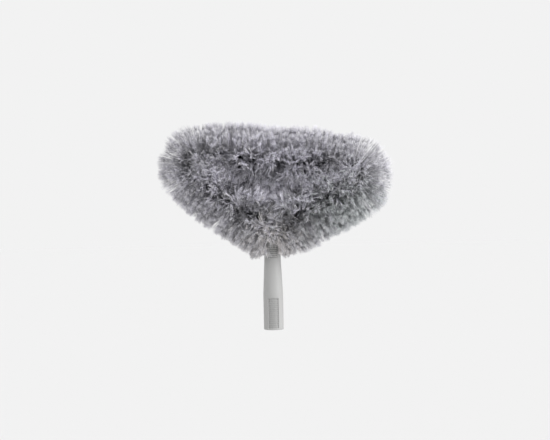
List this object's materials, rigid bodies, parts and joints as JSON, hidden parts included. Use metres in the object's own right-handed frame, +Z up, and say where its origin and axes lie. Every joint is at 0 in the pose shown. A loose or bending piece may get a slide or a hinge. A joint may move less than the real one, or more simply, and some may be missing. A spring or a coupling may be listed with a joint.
{
  "type": "cobweb brush head",
  "caption": "Cobweb brush head: a twisted-wire bristle loop bent into a rounded triangle, fixed in a tapered handle with ribbed grip panels and a push-fit pole socket.",
  "frame": {"origin": "centre of the pole socket's mouth, in the plane of the handle's lower rim", "axes": "+Z up the handle's axis towards the brush; the loop lies in the XZ plane with +X to the right as pictured; -Y is the front"},
  "size_m": [0.3698, 0.1136, 0.3318],
  "materials": {
    "handle_plastic": "light grey moulded polypropylene, satin",
    "plug_plastic": "mid grey moulded polypropylene, satin",
    "crimp_steel": "zinc-plated steel sleeve",
    "core_wire": "galvanised steel wire",
    "bristle_filament": "grey synthetic filament"
  },
  "bodies": {
    "root": {"handle": "handle_plastic", "wire_plug": "plug_plastic", "crimp_left": "crimp_steel", "crimp_right": "crimp_steel", "core_wire_a": "core_wire", "core_wire_b": "core_wire", "bristles_01": "bristle_filament", "bristles_02": "bristle_filament", "bristles_03": "bristle_filament", "bristles_04": "bristle_filament", "bristles_05": "bristle_filament", "bristles_06": "bristle_filament", "bristles_07": "bristle_filament", "bristles_08": "bristle_filament", "bristles_09": "bristle_filament", "bristles_10": "bristle_filament", "bristles_11": "bristle_filament", "bristles_12": "bristle_filament", "bristles_13": "bristle_filament", "bristles_14": "bristle_filament"}
  },
  "joints": []
}
